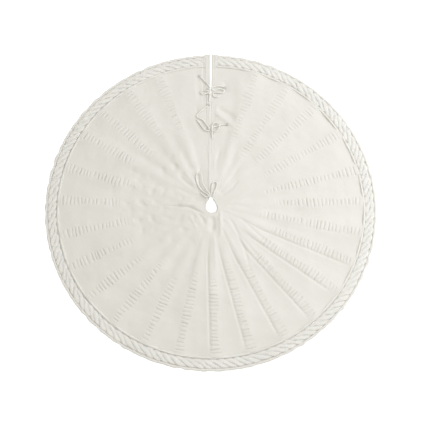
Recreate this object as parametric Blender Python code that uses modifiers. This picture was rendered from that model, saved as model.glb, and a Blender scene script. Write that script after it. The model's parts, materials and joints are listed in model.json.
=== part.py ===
"""Round knitted tree skirt: panels with raised ribs, a cabled border, a slit with plackets and cord ties.

The skirt lies on the floor with +Z up. The origin is on the floor under the middle of the neck hole.
The slit runs along +Y. Angles are counted anticlockwise from +X, seen from above.
All sizes are in metres.
"""

import math

import bmesh
import bpy
from mathutils import Matrix, Vector

# Overall size
RADIUS = 0.610
NECK_RADIUS = 0.022

# Panels between the ribs
FULL_PANELS = 24
END_PANEL_ANGLE = math.radians(19.2)
PANELS_ON_FLAP = 4
KNIT_THICKNESS = 0.004
RIB_HEIGHT = 0.0055
RIB_TOP_HALF_WIDTH = 0.009
RIB_FOOT_HALF_WIDTH = 0.017
RIB_TOP_SHARE = 0.14
RIB_FOOT_SHARE = 0.34
RIB_FADE_START = 0.10
RIB_FADE_END = 0.24
PANEL_ROWS = 6
PANEL_COLUMNS = 6
ROW_CROWDING = 1.5

# Heights of the two fold lines, which the tops of the ribs follow
NECK_CREST = 0.0360
RIM_CREST = 0.0125
FOLD_CLEARANCE = 0.0005

# Border, from the panels out to the rim
WELT_WIDTH = 0.0085
CABLE_WIDTH = 0.033
HEM_WIDTH = 0.010
BAND_THICKNESS = 0.0045
WELT_HEIGHT = 0.0075
CABLE_HEIGHT = 0.0070
HEM_HEIGHT = 0.0105
EDGE_ROUNDING = 0.0025
RING_STEPS_MAIN = 60
RING_STEPS_FLAP = 15

# Slit and plackets
SLIT_HALF_GAP_NECK = 0.0010
SLIT_HALF_GAP_RIM = 0.0036
PLACKET_WIDTH_NECK = 0.006
PLACKET_WIDTH_RIM = 0.022
PLACKET_THICKNESS = 0.005
PLACKET_RISE = 0.001
PLACKET_ROWS = 7

# Cords
CORD_DIAMETER = 0.0045
CASING_WALL = 0.0016
CASING_MOUTH_ANGLE = math.radians(28)
CORD_SIDES = 8
CORD_ROUNDING = 2
CASING_STEPS_MAIN = 22
CASING_STEPS_FLAP = 3
POINTS_PER_SPAN = 2
OUTER_BOW_FROM_BORDER = 0.093
BOW_SPACING = 0.160

# Stitched tacks that hold the ties down
TACK_LENGTH = 0.006
TACK_WIDTH = 0.009
TACK_HEIGHT = 0.004
TACK_EDGE = 0.0008

# Gap that touching pieces keep
GAP = 0.0003

# Worked out from the sizes above
SLIT_ANGLE = math.pi / 2
CORD_RADIUS = CORD_DIAMETER / 2
PANEL_ANGLE = (2 * math.pi - 2 * END_PANEL_ANGLE) / FULL_PANELS
FLAP_ANGLE = END_PANEL_ANGLE + (PANELS_ON_FLAP - 1) * PANEL_ANGLE
LEFT_FOLD_ANGLE = SLIT_ANGLE + FLAP_ANGLE
RIGHT_FOLD_ANGLE = SLIT_ANGLE - FLAP_ANGLE
MAIN_ANGLE = 2 * math.pi - 2 * FLAP_ANGLE
RING_STEP = MAIN_ANGLE / RING_STEPS_MAIN

HEM_INNER = RADIUS - HEM_WIDTH
CABLE_OUTER = HEM_INNER - 2 * GAP
CABLE_INNER = CABLE_OUTER - CABLE_WIDTH
WELT_OUTER = CABLE_INNER - 2 * GAP
WELT_INNER = WELT_OUTER - WELT_WIDTH
PANEL_OUTER = WELT_INNER * math.cos(RING_STEP / 2) - GAP

CASING_RADIUS = CORD_RADIUS + GAP + CASING_WALL
CASING_RING = NECK_RADIUS + CASING_RADIUS
PANEL_INNER = CASING_RING + CASING_RADIUS + GAP

OUTER_BOW_Y = WELT_INNER - OUTER_BOW_FROM_BORDER
MIDDLE_BOW_Y = OUTER_BOW_Y - BOW_SPACING

# Colours (linear), roughness and metallic value of each kind of piece
FINISHES = {
    "knit": ((0.76, 0.74, 0.66), 0.95, 0.0),
    "border": ((0.74, 0.72, 0.64), 0.95, 0.0),
    "placket": ((0.78, 0.76, 0.69), 0.92, 0.0),
    "cord": ((0.80, 0.77, 0.66), 0.80, 0.0),
    "stitching": ((0.72, 0.69, 0.60), 0.85, 0.0),
}

# Routes of the ties: x, distance from the knot along the slit, and layers of cord underneath
OUTER_LEFT = (
    (-0.0410, 0.053, 0), (-0.0310, 0.042, 0), (-0.0200, 0.030, 0), (-0.0105, 0.018, 0),
    (-0.0042, 0.008, 0), (-0.0042, -0.002, 0), (-0.0110, -0.007, 0), (-0.0220, -0.005, 0),
    (-0.0330, -0.007, 0), (-0.0380, -0.014, 0), (-0.0320, -0.021, 0), (-0.0200, -0.019, 0),
    (-0.0105, -0.016, 0), (-0.0048, -0.022, 0), (-0.0046, -0.031, 0), (-0.0056, -0.041, 0),
    (-0.0048, -0.050, 0),
)
OUTER_RIGHT = (
    (0.0520, 0.008, 0), (0.0410, 0.011, 0), (0.0280, 0.012, 0), (0.0150, 0.011, 0),
    (0.0058, 0.006, 0), (0.0050, -0.002, 0), (0.0115, -0.006, 0), (0.0230, -0.001, 0),
    (0.0350, 0.001, 0), (0.0460, -0.002, 0), (0.0500, -0.009, 0), (0.0430, -0.015, 0),
    (0.0300, -0.015, 0), (0.0180, -0.014, 0), (0.0095, -0.016, 0), (0.0082, -0.024, 0),
    (0.0130, -0.031, 0), (0.0220, -0.033, 0), (0.0310, -0.028, 0),
)
MIDDLE_LEFT = (
    (-0.0130, 0.094, 0), (-0.0220, 0.085, 0), (-0.0340, 0.073, 0), (-0.0470, 0.061, 0),
    (-0.0530, 0.051, 0), (-0.0470, 0.042, 0), (-0.0360, 0.037, 0), (-0.0260, 0.029, 0),
    (-0.0190, 0.017, 0), (-0.0115, 0.007, 0), (-0.0050, 0.000, 0), (-0.0068, -0.009, 0),
    (-0.0160, -0.011, 0), (-0.0260, -0.004, 0), (-0.0350, 0.009, 0), (-0.0440, 0.022, 0),
    (-0.0540, 0.035, 0),
)
MIDDLE_RIGHT = (
    (0.0560, 0.015, 0), (0.0430, 0.014, 0), (0.0310, 0.011, 0), (0.0180, 0.006, 0),
    (0.0075, 0.003, 0), (0.0052, -0.006, 0), (0.0110, -0.012, 0), (0.0200, -0.012, 0),
    (0.0290, -0.004, 0.5), (0.0310, 0.008, 1.2), (0.0260, 0.019, 0.7), (0.0160, 0.021, 0.4),
    (0.0085, 0.015, 0.9), (0.0052, 0.005, 1.2), (0.0046, -0.006, 1.2), (0.0046, -0.018, 0.5),
    (0.0046, -0.028, 0), (0.0050, -0.041, 0),
)
# The neck ties: x, y, and layers of cord underneath, from where they lie on the cloth
NECK_LEFT = (
    (-0.0046, 0.0266, 0), (-0.0032, 0.0320, 0), (-0.0036, 0.0390, 0), (-0.0090, 0.0480, 0),
    (-0.0180, 0.0600, 0), (-0.0260, 0.0740, 0), (-0.0320, 0.0900, 0), (-0.0330, 0.1060, 0),
    (-0.0370, 0.1200, 0), (-0.0470, 0.1240, 0), (-0.0540, 0.1130, 0), (-0.0530, 0.0950, 0),
    (-0.0480, 0.0770, 0), (-0.0400, 0.0620, 0), (-0.0290, 0.0500, 0), (-0.0180, 0.0425, 0),
    (-0.0100, 0.0370, 0), (-0.0095, 0.0300, 0), (-0.0160, 0.0275, 0), (-0.0260, 0.0340, 0),
    (-0.0360, 0.0450, 0),
)
NECK_RIGHT = (
    (0.0046, 0.0266, 0), (0.0032, 0.0320, 0), (0.0031, 0.0430, 0), (0.0032, 0.0560, 0),
    (0.0036, 0.0700, 0), (0.0065, 0.0820, 0), (0.0140, 0.0875, 0), (0.0215, 0.0830, 0),
    (0.0212, 0.0700, 0), (0.0165, 0.0560, 0), (0.0125, 0.0450, 0), (0.0104, 0.0360, 0),
    (0.0098, 0.0285, 0), (0.0105, 0.0210, 0),
)


def blend(low, high, share):
    return low + (high - low) * share


def smooth_step(low, high, value):
    share = min(max((value - low) / (high - low), 0.0), 1.0)
    return share * share * (3 - 2 * share)


def crest(radius):
    """Height of the fold lines above the floor."""
    return blend(NECK_CREST, RIM_CREST, (radius - NECK_RADIUS) / (RADIUS - NECK_RADIUS))


def panel_top(radius, rib_share):
    """Height of the knit's upper face: rib_share is 1 on a rib and 0 between two ribs."""
    drop = RIB_HEIGHT * smooth_step(RIB_FADE_START, RIB_FADE_END, radius)
    return crest(radius) - FOLD_CLEARANCE - drop * (1 - rib_share)


CASING_HEIGHT = crest(PANEL_INNER) - FOLD_CLEARANCE - CASING_RADIUS


def along_slit(radius):
    return (radius - PANEL_INNER) / (RADIUS - PANEL_INNER)


def placket_inner(radius):
    return blend(SLIT_HALF_GAP_NECK, SLIT_HALF_GAP_RIM, along_slit(radius))


def placket_outer(radius):
    return placket_inner(radius) + blend(PLACKET_WIDTH_NECK, PLACKET_WIDTH_RIM, along_slit(radius))


def angle_beside_slit(radius, side, distance):
    """Angle of the point at this radius that lies this far from the slit's middle; side is 1 on the left."""
    return SLIT_ANGLE + side * math.asin(distance / radius)


def around(radius, angle, height):
    return Vector((radius * math.cos(angle), radius * math.sin(angle), height))


def under_tie(x, y):
    """Height of what a tie lies on at this place."""
    radius = math.hypot(x, y)
    if radius < PANEL_INNER:
        return max(CASING_HEIGHT + CASING_RADIUS, panel_top(PANEL_INNER, 0) + PLACKET_RISE)
    return panel_top(radius, 0) + PLACKET_RISE


def new_collection(name):
    collection = bpy.data.collections.new(name)
    bpy.context.scene.collection.children.link(collection)
    return collection


def set_finish(thing, kind):
    colour, roughness, metallic = FINISHES[kind]
    material = bpy.data.materials.new(thing.name)
    material.use_nodes = True
    shader = material.node_tree.nodes["Principled BSDF"]
    shader.inputs["Base Color"].default_value = (*colour, 1.0)
    shader.inputs["Roughness"].default_value = roughness
    shader.inputs["Metallic"].default_value = metallic
    material.diffuse_color = (*colour, 1.0)
    thing.data.materials.append(material)


def add_part(name, data, kind, parent):
    """Put the data in the scene as a part that moves with its parent."""
    part = bpy.data.objects.new(name, data)
    parts.objects.link(part)
    part.parent = parent
    part.matrix_parent_inverse = parent.matrix_world.inverted()
    set_finish(part, kind)
    return part


def mesh_from(name, shape):
    mesh = bpy.data.meshes.new(name)
    shape.to_mesh(mesh)
    shape.free()
    return mesh


def add_solidify(part, thickness):
    solidify = part.modifiers.new("Thickness", "SOLIDIFY")
    solidify.thickness = thickness
    solidify.offset = -1


def add_sheet(name, columns, rows, place, thickness, kind, parent):
    """A sheet of knit: a grid laid out by place(column, row) and thickened downwards."""
    shape = bmesh.new()
    bmesh.ops.create_grid(shape, x_segments=columns, y_segments=rows, size=0.5)
    for vert in shape.verts:
        column = round((vert.co.x + 0.5) * columns)
        row = round((vert.co.y + 0.5) * rows)
        vert.co = place(column, row)
    shape.normal_update()
    shape.faces.ensure_lookup_table()
    if shape.faces[0].normal.z < 0:
        bmesh.ops.reverse_faces(shape, faces=shape.faces)
    part = add_part(name, mesh_from(name, shape), kind, parent)
    add_solidify(part, thickness)
    return part


def seam_angle(radius, angle, side):
    """Angle of a panel's edge at a seam, half a gap from it on the given side."""
    return angle + side * math.asin(GAP / 2 / radius)


def panel_columns(width, left_rib, right_rib):
    """Places across a panel, from its first edge to its last, with how far each is up a rib."""
    top = min(RIB_TOP_HALF_WIDTH, RIB_TOP_SHARE * width)
    foot = min(RIB_FOOT_HALF_WIDTH, RIB_FOOT_SHARE * width)
    first = [(0, left_rib), (top, left_rib), (foot, 0)]
    last = [(width - foot, 0), (width - top, right_rib), (width, right_rib)]
    return first + [(width / 2, 0)] + last


def add_panel(name, first_edge, last_edge, first_rib, last_rib, parent):
    """One knit panel: the edges give an angle for a radius, and a rib stands along a seam."""

    def place(column, row):
        share = (row / PANEL_ROWS) ** ROW_CROWDING
        radius = blend(PANEL_INNER, PANEL_OUTER, share)
        start = first_edge(radius)
        width = (last_edge(radius) - start) * radius
        across, rib_share = panel_columns(width, first_rib, last_rib)[column]
        return around(radius, start + across / radius, panel_top(radius, rib_share))

    return add_sheet(name, PANEL_COLUMNS, PANEL_ROWS, place, KNIT_THICKNESS, "knit", parent)


def add_panels(bodies):
    """All panels, anticlockwise from the slit, each with a rib along both of its seams."""
    count = FULL_PANELS + 2
    for number in range(count):
        is_first = number == 0
        is_last = number == count - 1
        start = SLIT_ANGLE + END_PANEL_ANGLE + (number - 1) * PANEL_ANGLE
        end = start + PANEL_ANGLE

        def first_edge(radius):
            if is_first:
                return angle_beside_slit(radius, 1, placket_outer(radius) + GAP)
            return seam_angle(radius, start, 1)

        def last_edge(radius):
            if is_last:
                beside = placket_outer(radius) + GAP
                return angle_beside_slit(radius, -1, beside) + 2 * math.pi
            return seam_angle(radius, end, -1)

        if number < PANELS_ON_FLAP:
            body = bodies["left_flap"]
        elif number >= count - PANELS_ON_FLAP:
            body = bodies["right_flap"]
        else:
            body = bodies["main"]
        name = f"knit_panel_{number + 1:02d}"
        add_panel(name, first_edge, last_edge, 0 if is_first else 1, 0 if is_last else 1, body)


def spun(section, start, end, steps):
    """The open surface that a closed section of radii and heights makes as it turns about Z."""
    shape = bmesh.new()
    verts = [shape.verts.new(around(radius, start, height)) for radius, height in section]
    edges = [shape.edges.new(pair) for pair in zip(verts, verts[1:] + verts[:1])]
    bmesh.ops.spin(
        shape, geom=verts + edges, cent=(0, 0, 0), axis=(0, 0, 1), angle=end - start, steps=steps
    )
    return shape


def add_ring(name, section, start, end, steps, kind, parent):
    """A curved length with a constant section, closed at both of its ends."""
    shape = spun(section, start, end, steps)
    bmesh.ops.holes_fill(shape, edges=[edge for edge in shape.edges if edge.is_boundary])
    bmesh.ops.recalc_face_normals(shape, faces=shape.faces)
    return add_part(name, mesh_from(name, shape), kind, parent)


def rounded_section(inner, outer, low, high):
    """A section that is flat below and has its upper corners taken off."""
    return (
        (inner, low),
        (outer, low),
        (outer, high - EDGE_ROUNDING),
        (outer - EDGE_ROUNDING, high),
        (inner + EDGE_ROUNDING, high),
        (inner, high - EDGE_ROUNDING),
    )


def circle_section(ring, height, radius):
    angles = [2 * math.pi * (side + 0.5) / CORD_SIDES for side in range(CORD_SIDES)]
    return [(ring + radius * math.cos(angle), height + radius * math.sin(angle)) for angle in angles]


def fold_gap(radius):
    return math.asin(GAP / 2 / radius)


def border_spans(inner):
    """Start and end of a border ring on each body, clear of the fold lines and the plackets."""
    beside_slit = math.asin((placket_outer(RADIUS) + GAP) / inner)
    gap = fold_gap(inner)
    return {
        "left_flap": (SLIT_ANGLE + beside_slit, LEFT_FOLD_ANGLE - gap),
        "main": (LEFT_FOLD_ANGLE + gap, LEFT_FOLD_ANGLE + MAIN_ANGLE - gap),
        "right_flap": (RIGHT_FOLD_ANGLE + gap, SLIT_ANGLE - beside_slit),
    }


def add_border(bodies):
    band_top = BAND_THICKNESS + GAP
    band = (
        (WELT_INNER, 0),
        (CABLE_OUTER, 0),
        (CABLE_OUTER, BAND_THICKNESS),
        (WELT_INNER, BAND_THICKNESS),
    )
    sections = {
        "border_band": (band, "knit"),
        "border_welt": (
            rounded_section(WELT_INNER, WELT_OUTER, band_top, band_top + WELT_HEIGHT), "border"
        ),
        "border_cable": (
            rounded_section(CABLE_INNER, CABLE_OUTER, band_top, band_top + CABLE_HEIGHT), "border"
        ),
        "hem_roll": (rounded_section(HEM_INNER, RADIUS, 0, HEM_HEIGHT), "border"),
    }
    for piece, (section, kind) in sections.items():
        inner = min(radius for radius, height in section)
        for body, (start, end) in border_spans(inner).items():
            steps = RING_STEPS_MAIN if body == "main" else RING_STEPS_FLAP
            add_ring(f"{piece}_{body}", section, start, end, steps, kind, bodies[body])


def casing_spans():
    gap = fold_gap(CASING_RING - CASING_RADIUS)
    return {
        "left_flap": (SLIT_ANGLE + CASING_MOUTH_ANGLE, LEFT_FOLD_ANGLE - gap),
        "main": (LEFT_FOLD_ANGLE + gap, LEFT_FOLD_ANGLE + MAIN_ANGLE - gap),
        "right_flap": (RIGHT_FOLD_ANGLE + gap, SLIT_ANGLE - CASING_MOUTH_ANGLE),
    }


def add_casing(name, start, end, steps, parent):
    """The hollow edging of the neck hole, open at both of its ends."""
    section = circle_section(CASING_RING, CASING_HEIGHT, CASING_RADIUS)
    shape = spun(section, start, end, steps)
    shape.normal_update()
    shape.faces.ensure_lookup_table()
    face = shape.faces[0]
    middle = face.calc_center_median()
    angle = math.atan2(middle.y, middle.x)
    if face.normal.dot(middle - around(CASING_RING, angle, CASING_HEIGHT)) < 0:
        bmesh.ops.reverse_faces(shape, faces=shape.faces)
    part = add_part(name, mesh_from(name, shape), "placket", parent)
    add_solidify(part, CASING_WALL)


def add_neck(bodies):
    cord_section = circle_section(CASING_RING, CASING_HEIGHT, CORD_RADIUS)
    for body, (start, end) in casing_spans().items():
        steps = CASING_STEPS_MAIN if body == "main" else CASING_STEPS_FLAP
        add_casing(f"neck_casing_{body}", start, end, steps, bodies[body])
        add_ring(f"neck_drawcord_{body}", cord_section, start, end, steps, "cord", bodies[body])


def add_placket(name, side, parent):
    """The double band along one edge of the slit, from the neck to the rim."""

    def place(column, row):
        radius = blend(PANEL_INNER, RADIUS, row / PLACKET_ROWS)
        distance = placket_outer(radius) if column else placket_inner(radius)
        height = panel_top(radius, 0) + PLACKET_RISE
        return around(radius, angle_beside_slit(radius, side, distance), height)

    add_sheet(name, 1, PLACKET_ROWS, place, PLACKET_THICKNESS, "placket", parent)


def smooth_route(route):
    """Points of a Catmull-Rom curve through the route's own points."""
    ends = [route[0] * 2 - route[1]] + route + [route[-1] * 2 - route[-2]]
    points = []
    for before, start, end, after in zip(ends, ends[1:], ends[2:], ends[3:]):
        for step in range(POINTS_PER_SPAN):
            share = step / POINTS_PER_SPAN
            slope = (end - before) * share
            bend = (before * 2 - start * 5 + end * 4 - after) * share**2
            twist = (start * 3 - before - end * 3 + after) * share**3
            points.append(start + (slope + bend + twist) / 2)
    return points + [route[-1]]


def add_cord(name, route, parent):
    curve = bpy.data.curves.new(name, "CURVE")
    curve.dimensions = "3D"
    curve.bevel_depth = CORD_RADIUS
    curve.bevel_resolution = CORD_ROUNDING
    curve.use_fill_caps = True
    points = smooth_route(route)
    spline = curve.splines.new("POLY")
    spline.points.add(len(points) - 1)
    for point, place in zip(spline.points, points):
        point.co = (*place, 1.0)
    add_part(name, curve, "cord", parent)


def on_cloth(x, y, layers):
    """Centre of a cord that lies on the cloth, or on as many layers of cord."""
    return Vector((x, y, under_tie(x, y) + GAP + CORD_RADIUS + layers * (CORD_DIAMETER + GAP)))


def add_tie(name, route, knot_y, parent):
    """A slit tie, with the stitched tack that its outer end is sewn under."""
    places = [on_cloth(x, knot_y + y, layers) for x, y, layers in route]
    add_cord(name, places, parent)
    away = places[0] - places[1]
    away.z = 0
    middle = places[0] + away.normalized() * (TACK_LENGTH / 2 + GAP)
    bpy.ops.mesh.primitive_cube_add(size=1)
    tack = bpy.context.object
    for collection in list(tack.users_collection):
        collection.objects.unlink(tack)
    parts.objects.link(tack)
    tack.name = name.replace("tie", "tie_tack")
    tack.data.transform(Matrix.Diagonal((TACK_LENGTH, TACK_WIDTH, TACK_HEIGHT, 1)))
    tack.location = (middle.x, middle.y, places[0].z - CORD_RADIUS + TACK_HEIGHT / 2)
    tack.rotation_euler.z = math.atan2(away.y, away.x)
    tack.parent = parent
    tack.matrix_parent_inverse = parent.matrix_world.inverted()
    bevel = tack.modifiers.new("Rounding", "BEVEL")
    bevel.width = TACK_EDGE
    bevel.segments = 1
    set_finish(tack, "stitching")


def add_neck_tie(name, side, route, parent):
    """A free end of the drawcord, from the casing's mouth to its tip."""
    mouth = SLIT_ANGLE + side * CASING_MOUTH_ANGLE
    outwards = Vector((side * math.sin(mouth), -side * math.cos(mouth), 0))
    leaving = around(CASING_RING, mouth, CASING_HEIGHT) + outwards * 2 * GAP
    clear = leaving + outwards * CORD_RADIUS
    lifting = clear + outwards * CORD_RADIUS + Vector((0, 0, CORD_RADIUS))
    places = [leaving, clear, lifting] + [on_cloth(x, y, layers) for x, y, layers in route]
    add_cord(name, places, parent)


def fold_axis(name, angle):
    """An empty on a fold line, with its X axis along the line towards the rim."""
    empty = bpy.data.objects.new(name, None)
    parts.objects.link(empty)
    neck_end = around(NECK_RADIUS, angle, NECK_CREST)
    rim_end = around(RADIUS, angle, RIM_CREST)
    empty.location = neck_end
    empty.rotation_euler = (rim_end - neck_end).to_track_quat("X", "Z").to_euler()
    return empty


for old in list(bpy.data.objects):
    bpy.data.objects.remove(old, do_unlink=True)

parts = new_collection("tree_skirt")
skirt_bodies = {
    "main": bpy.data.objects.new("main_body", None),
    "left_flap": fold_axis("left_fold_axis", LEFT_FOLD_ANGLE),
    "right_flap": fold_axis("right_fold_axis", RIGHT_FOLD_ANGLE),
}
parts.objects.link(skirt_bodies["main"])
bpy.context.view_layer.update()

add_panels(skirt_bodies)
add_border(skirt_bodies)
add_neck(skirt_bodies)
add_placket("placket_left", 1, skirt_bodies["left_flap"])
add_placket("placket_right", -1, skirt_bodies["right_flap"])
add_tie("tie_outer_left", OUTER_LEFT, OUTER_BOW_Y, skirt_bodies["left_flap"])
add_tie("tie_outer_right", OUTER_RIGHT, OUTER_BOW_Y, skirt_bodies["right_flap"])
add_tie("tie_middle_left", MIDDLE_LEFT, MIDDLE_BOW_Y, skirt_bodies["left_flap"])
add_tie("tie_middle_right", MIDDLE_RIGHT, MIDDLE_BOW_Y, skirt_bodies["right_flap"])
add_neck_tie("tie_neck_left", 1, NECK_LEFT, skirt_bodies["left_flap"])
add_neck_tie("tie_neck_right", -1, NECK_RIGHT, skirt_bodies["right_flap"])
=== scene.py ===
"""Looks of the round knitted tree skirt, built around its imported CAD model.

The frame is the CAD's: metres, +Z up, the origin on the floor under the middle of the neck hole, and the slit
along +Y. A "turn" is an angle from the slit in degrees, anticlockwise as seen from above.
"""

import json
import math

import bpy
import numpy as np
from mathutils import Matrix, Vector


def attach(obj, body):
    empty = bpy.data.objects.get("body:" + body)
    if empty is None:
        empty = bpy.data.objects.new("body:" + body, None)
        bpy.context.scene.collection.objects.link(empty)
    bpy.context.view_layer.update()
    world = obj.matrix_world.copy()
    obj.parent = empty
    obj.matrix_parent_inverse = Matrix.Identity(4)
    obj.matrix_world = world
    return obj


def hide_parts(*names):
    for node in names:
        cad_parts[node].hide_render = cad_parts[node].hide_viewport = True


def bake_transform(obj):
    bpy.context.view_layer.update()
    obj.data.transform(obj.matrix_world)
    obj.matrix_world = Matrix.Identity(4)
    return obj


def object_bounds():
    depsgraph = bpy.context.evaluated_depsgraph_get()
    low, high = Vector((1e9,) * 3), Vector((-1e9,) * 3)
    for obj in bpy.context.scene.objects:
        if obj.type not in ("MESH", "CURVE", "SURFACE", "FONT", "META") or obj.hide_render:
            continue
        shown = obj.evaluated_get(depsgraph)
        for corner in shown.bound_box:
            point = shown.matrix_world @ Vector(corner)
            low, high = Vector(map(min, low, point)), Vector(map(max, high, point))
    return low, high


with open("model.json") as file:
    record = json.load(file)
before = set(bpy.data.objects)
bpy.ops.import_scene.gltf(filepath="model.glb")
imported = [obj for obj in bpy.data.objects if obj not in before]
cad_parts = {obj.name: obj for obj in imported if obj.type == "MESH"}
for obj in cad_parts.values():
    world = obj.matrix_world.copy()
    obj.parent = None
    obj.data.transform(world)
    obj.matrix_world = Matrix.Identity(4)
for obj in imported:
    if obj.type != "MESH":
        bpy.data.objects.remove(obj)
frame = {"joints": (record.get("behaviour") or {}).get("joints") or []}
cad_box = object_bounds()

# Camera, as it stood for the photo
IMAGE_SIDE = 425
FOCAL_PIXELS = 1224
SENSOR = 36.0
CAMERA_DISTANCE = 4.5
CAMERA_ELEVATION = math.radians(72.6)
CAMERA_TARGET = (0.006, -0.0193, 0.0)

# Light and floor. Lights: place, the point faced, diameter, power and colour
WORLD_COLOUR = (1.0, 0.99, 0.95, 1.0)
WORLD_STRENGTH = 0.63
KEY_LIGHT = ((2.5, 0.9, 2.1), (0.1, 0.0, 0.0), 1.5, 58.0, (0.95, 0.99, 1.07))
OVERHEAD_LIGHT = ((0.2, -0.6, 5.2), (0.0, 0.0, 0.0), 2.0, 68.0, (1.0, 0.985, 0.955))
FLOOR_SIDE = 30
FLOOR_DROP = 0.0003
FLOOR = {
    "Base_Color": (0.4, 0.4, 0.4, 1.0), "Roughness": 0.9, "Emission_Color": (1.0, 1.0, 1.0, 1.0),
    "Emission_Strength": 0.86,
}

# Detail of the meshes: distances between rows and columns
COARSE_ROW = 0.0032
FINE_ROW = 0.0021
FINE_ROWS_FROM = 0.19
RIB_COLUMNS_WIDTH = 0.021
RIB_COLUMNS_SHARE = 0.36
CABLE_ROW = 0.0018
CASING_ROW_TURN = 1.6
PLACKET_GRID = (250, 25)
NORMAL_STEP = 0.0004

# Sizes of the skirt that the CAD has too
NECK_RADIUS = 0.022
PANELS = 26
FLAP_PANELS = 4
END_PANEL_ANGLE = 19.2
PANEL_ANGLE = 13.4
FOLD_CLEARANCE = 0.0005
RIB_HEIGHT = 0.0055
RIB_FADE = (0.1, 0.24)
PANEL_INNER = 0.0306
PANEL_OUTER = 0.5585
WELT_INNER = 0.5573
WELT_OUTER = 0.5658
CABLE_INNER = 0.5664
CABLE_OUTER = 0.5994
HEM_INNER = 0.6
BAND_THICKNESS = 0.0045
PLACKET_INNER = (0.001, 0.0036)
PLACKET_WIDTH = (0.006, 0.022)
PLACKET_RISE = 0.001
CASING_RING = 0.02615
CASING_RADIUS = 0.00415
CASING_HEIGHT = 0.031
CASING_MOUTH = 28.0
CORD_DIAMETER = 0.0045
CORD_RADIUS = CORD_DIAMETER / 2
GAP = 0.0003

# Sizes worked out from the frame and those above
MILLIMETRES = 1000
UP = np.array([0.0, 0.0, 1.0])
RADIUS = cad_box[1].y
fold = next(joint for joint in frame["joints"] if joint["name"] == "left_flap_fold")
NECK_CREST = fold["pos_m"][2]
CREST_SLOPE = abs(fold["axis"][2]) / math.hypot(*fold["axis"][:2])
FOLD_RIBS = (FLAP_PANELS - 1, PANELS - 1 - FLAP_PANELS)
FLAP_SPAN = END_PANEL_ANGLE + FOLD_RIBS[0] * PANEL_ANGLE
MAIN_END = 360 - FLAP_SPAN
BODIES = {"left_flap": (0, FLAP_SPAN), "main": (FLAP_SPAN, MAIN_END), "right_flap": (MAIN_END, 360)}

# Where the ribs lie: how far each is shifted from its even place, in degrees
LEFT_FLAP_SHIFT = 1.8
MAIN_SHIFT = 1.5
MAIN_SHIFT_BACK = 4.2
SHIFT_BACK_RIBS = (15.5, 20.5)
RIGHT_FLAP_SHIFT = 1.4

# Ribs and the knit between them. Pairs of sizes are where something starts and where it is whole.
CLOTH_THICKNESS = 0.003
RIB_SIDES = (0.0195, 0.024)
RIB_SIDE_SHARE = 0.42
RIB_STEEPNESS = 3
RIB_BAND_SHARE = 0.3
PANEL_LOFT = 0.42
FAINT_LOFT = 0.35
FAINT_TURNS = (278, 310)
RIM_FADE = (WELT_INNER, 0.5)
LOFT_FROM_SLIT = (0.062, 0.115)
CALM_FROM_SLIT = (0.034, 0.085)
CREASE_FROM_SLIT = (0.006, 0.03)
CLEAR_OF_MIDDLE = (1.0, 0.72)

# Rungs: the short ridges across a rib
RUNG_PITCH = 0.014
RUNG_DEPTH = 0.0022
RUNG_DEPTH_SPREAD = (0.78, 0.34)
RUNG_DEPTH_WAVE = 0.2
RUNG_FAINTER = 0.4
RUNG_GROOVE = 0.0016
RUNG_PUFF = 0.0004
RUNG_JITTER = 0.16
RUNG_TILT = 7
RUNG_HALF_WIDTH = 0.016
RUNG_WIDTH_SPREAD = (0.84, 0.26)
RUNG_WIDENING = (0.2, 0.5)
RUNG_WIDTH_AT_NECK = 0.72
RUNG_WIDTH_SHARE = 0.3
RUNG_SHIFT = 0.0016
RUNG_SHIFT_STEP = 0.0135
RUNG_END_FADE = (0.0035, -0.003)
RUNGS_START = 0.275
RUNGS_START_SWING = 0.055
RUNGS_START_SPREAD = 0.022
RUNGS_START_FADE = (-0.035, 0.03)
RUNGS_END = (0.559, 0.549)
LANE = 0.37

# Grooves along the clockwise side of the ribs at the front
FLANK_DEPTH = 0.0023
FLANK_PLACE = 0.86
FLANK_HALF_WIDTH = 0.005
FLANK_FIRST_RIBS = (10.5, 12.0)
FLANK_LAST_RIBS = (18.5, 17.0)
FLANK_RADII = (0.13, 0.24)

# Gathers that run from the neck towards the ribs
GATHER_START = (0.035, 0.07)
GATHER_END = (0.3, 0.12)
GATHER_HEIGHT = 0.0007
GATHER_DEPTH = 0.0008
GATHER_RIBS = (9, 15)
GATHER_WEAKEST = 0.25
GATHER_HALF_WIDTH = 0.0035
GATHER_WIDENING = 0.02
GATHER_GROOVE_PLACE = 0.0045
GATHER_GROOVE_SPREADING = 0.05

# Slow waves and rumples of the loose knit
BROAD_WAVE_HEIGHT = 0.0013
SMALL_WAVE_HEIGHT = 0.0007
LOOSE_AT_RIM = 0.35
LOOSE_AT_FOLD = 0.3
FOLD_REACH = 0.04
RUMPLE_HEIGHT = 0.0009
RUMPLE_LEAST = 0.2
RUMPLE_PLACE = (-0.15, 0.035)
RUMPLE_FLATTENING = 1.25
RUMPLE_REACH = (0.27, 0.12)
RUMPLE_FROM_NECK = (0.045, 0.075)
RUMPLE_SHARPNESS = 0.6

# The hollow left of the slit, where the neck ties lie: how far from the slit its far side is at each Y
HOLLOW_DEPTH = 0.0052
HOLLOW_Y = (0.034, 0.05, 0.077, 0.113, 0.15)
HOLLOW_FAR_SIDE = (0.01, 0.029, 0.046, 0.052, 0.05)
HOLLOW_DEEPEST = 0.8
HOLLOW_OUTSIDE = 1.08
HOLLOW_START = (0.038, 0.062)
HOLLOW_END = (0.165, 0.115)

# The neck hole is drawn out towards the front, and narrows towards the slit
NECK_PULL = (0.0035, -0.0075)
NECK_PULL_REACH = 0.09
NECK_PULL_SIDE = (0.014, -0.02)
NECK_NARROWING = 0.34

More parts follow.
